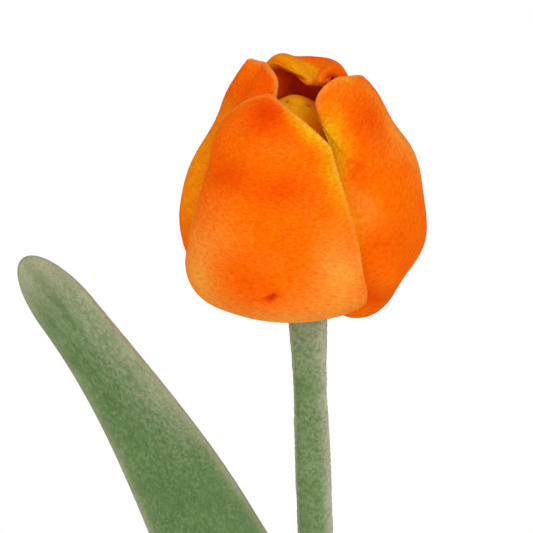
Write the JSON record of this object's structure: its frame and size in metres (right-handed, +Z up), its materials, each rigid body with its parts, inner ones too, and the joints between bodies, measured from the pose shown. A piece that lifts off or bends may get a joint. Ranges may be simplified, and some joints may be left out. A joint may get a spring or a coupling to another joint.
{
  "type": "plush tulip",
  "caption": "Plush tulip: padded petals round a stuffed bud, on a bendable plush stem with a clasping padded leaf.",
  "frame": {"origin": "centre of the flat round that closes the foot of the stem", "axes": "+Z up along the lower stem, towards the flower head; -Y towards the viewer of the picture, where the outermost petal is; +X to the viewer's right, so the leaf leans towards -X"},
  "size_m": [0.1431, 0.0856, 0.3859],
  "materials": {
    "petal_plush": "short-pile plush, orange, airbrushed yellow towards the upper edges",
    "lining_plush": "short-pile plush, orange",
    "bud_plush": "short-pile plush, yellow orange",
    "green_plush": "short-pile plush, sage green",
    "wadding": "white polyester wadding",
    "coated_wire": "soft steel wire with a plastic coat"
  },
  "bodies": {
    "stem_lower": {"stem_foot_disc": "green_plush", "stem_cover_lower": "green_plush", "stem_wadding_lower": "wadding", "stem_wire_lower": "coated_wire"},
    "stem_upper": {"stem_cover_upper": "green_plush", "stem_wadding_upper": "wadding", "stem_wire_upper": "coated_wire"},
    "flower_head": {"head_base_disc": "petal_plush", "bud_wire": "coated_wire", "bud_gore_1": "bud_plush", "bud_gore_2": "bud_plush", "bud_gore_3": "bud_plush", "bud_stuffing": "wadding", "petal_right_face": "petal_plush", "petal_right_lining": "lining_plush", "petal_right_wadding": "wadding", "petal_left_face": "petal_plush", "petal_left_lining": "lining_plush", "petal_left_wadding": "wadding", "petal_back_face": "petal_plush", "petal_back_lining": "lining_plush", "petal_back_wadding": "wadding"},
    "petal_front": {"petal_front_face": "petal_plush", "petal_front_lining": "lining_plush", "petal_front_wadding": "wadding"},
    "leaf": {"leaf_face": "green_plush", "leaf_back": "green_plush", "leaf_wadding": "wadding", "leaf_wire": "coated_wire"}
  },
  "joints": [
    {"name": "stem_bend", "type": "hinge", "parent": "stem_lower", "child": "stem_upper", "pos_m": [0, 0, 0.2], "axis": [1, 0, 0], "range_deg": [-35, 35]},
    {"name": "neck_tilt", "type": "hinge", "parent": "stem_upper", "child": "flower_head", "pos_m": [-0.00367, 0, 0.3], "axis": [0, 1, 0], "range_deg": [-25, 25]},
    {"name": "leaf_sway", "type": "hinge", "parent": "stem_lower", "child": "leaf", "pos_m": [-0.00795, 0, 0.125], "axis": [0, -1, 0], "range_deg": [-3, 40]},
    {"name": "petal_front_open", "type": "hinge", "parent": "flower_head", "child": "petal_front", "pos_m": [-0.00767, -0.00939, 0.30015], "axis": [0.9187, -0.3907, 0.0578], "range_deg": [0, 25], "stiffness_Nm_per_rad": 0.02, "springref_deg": -11.46}
  ]
}
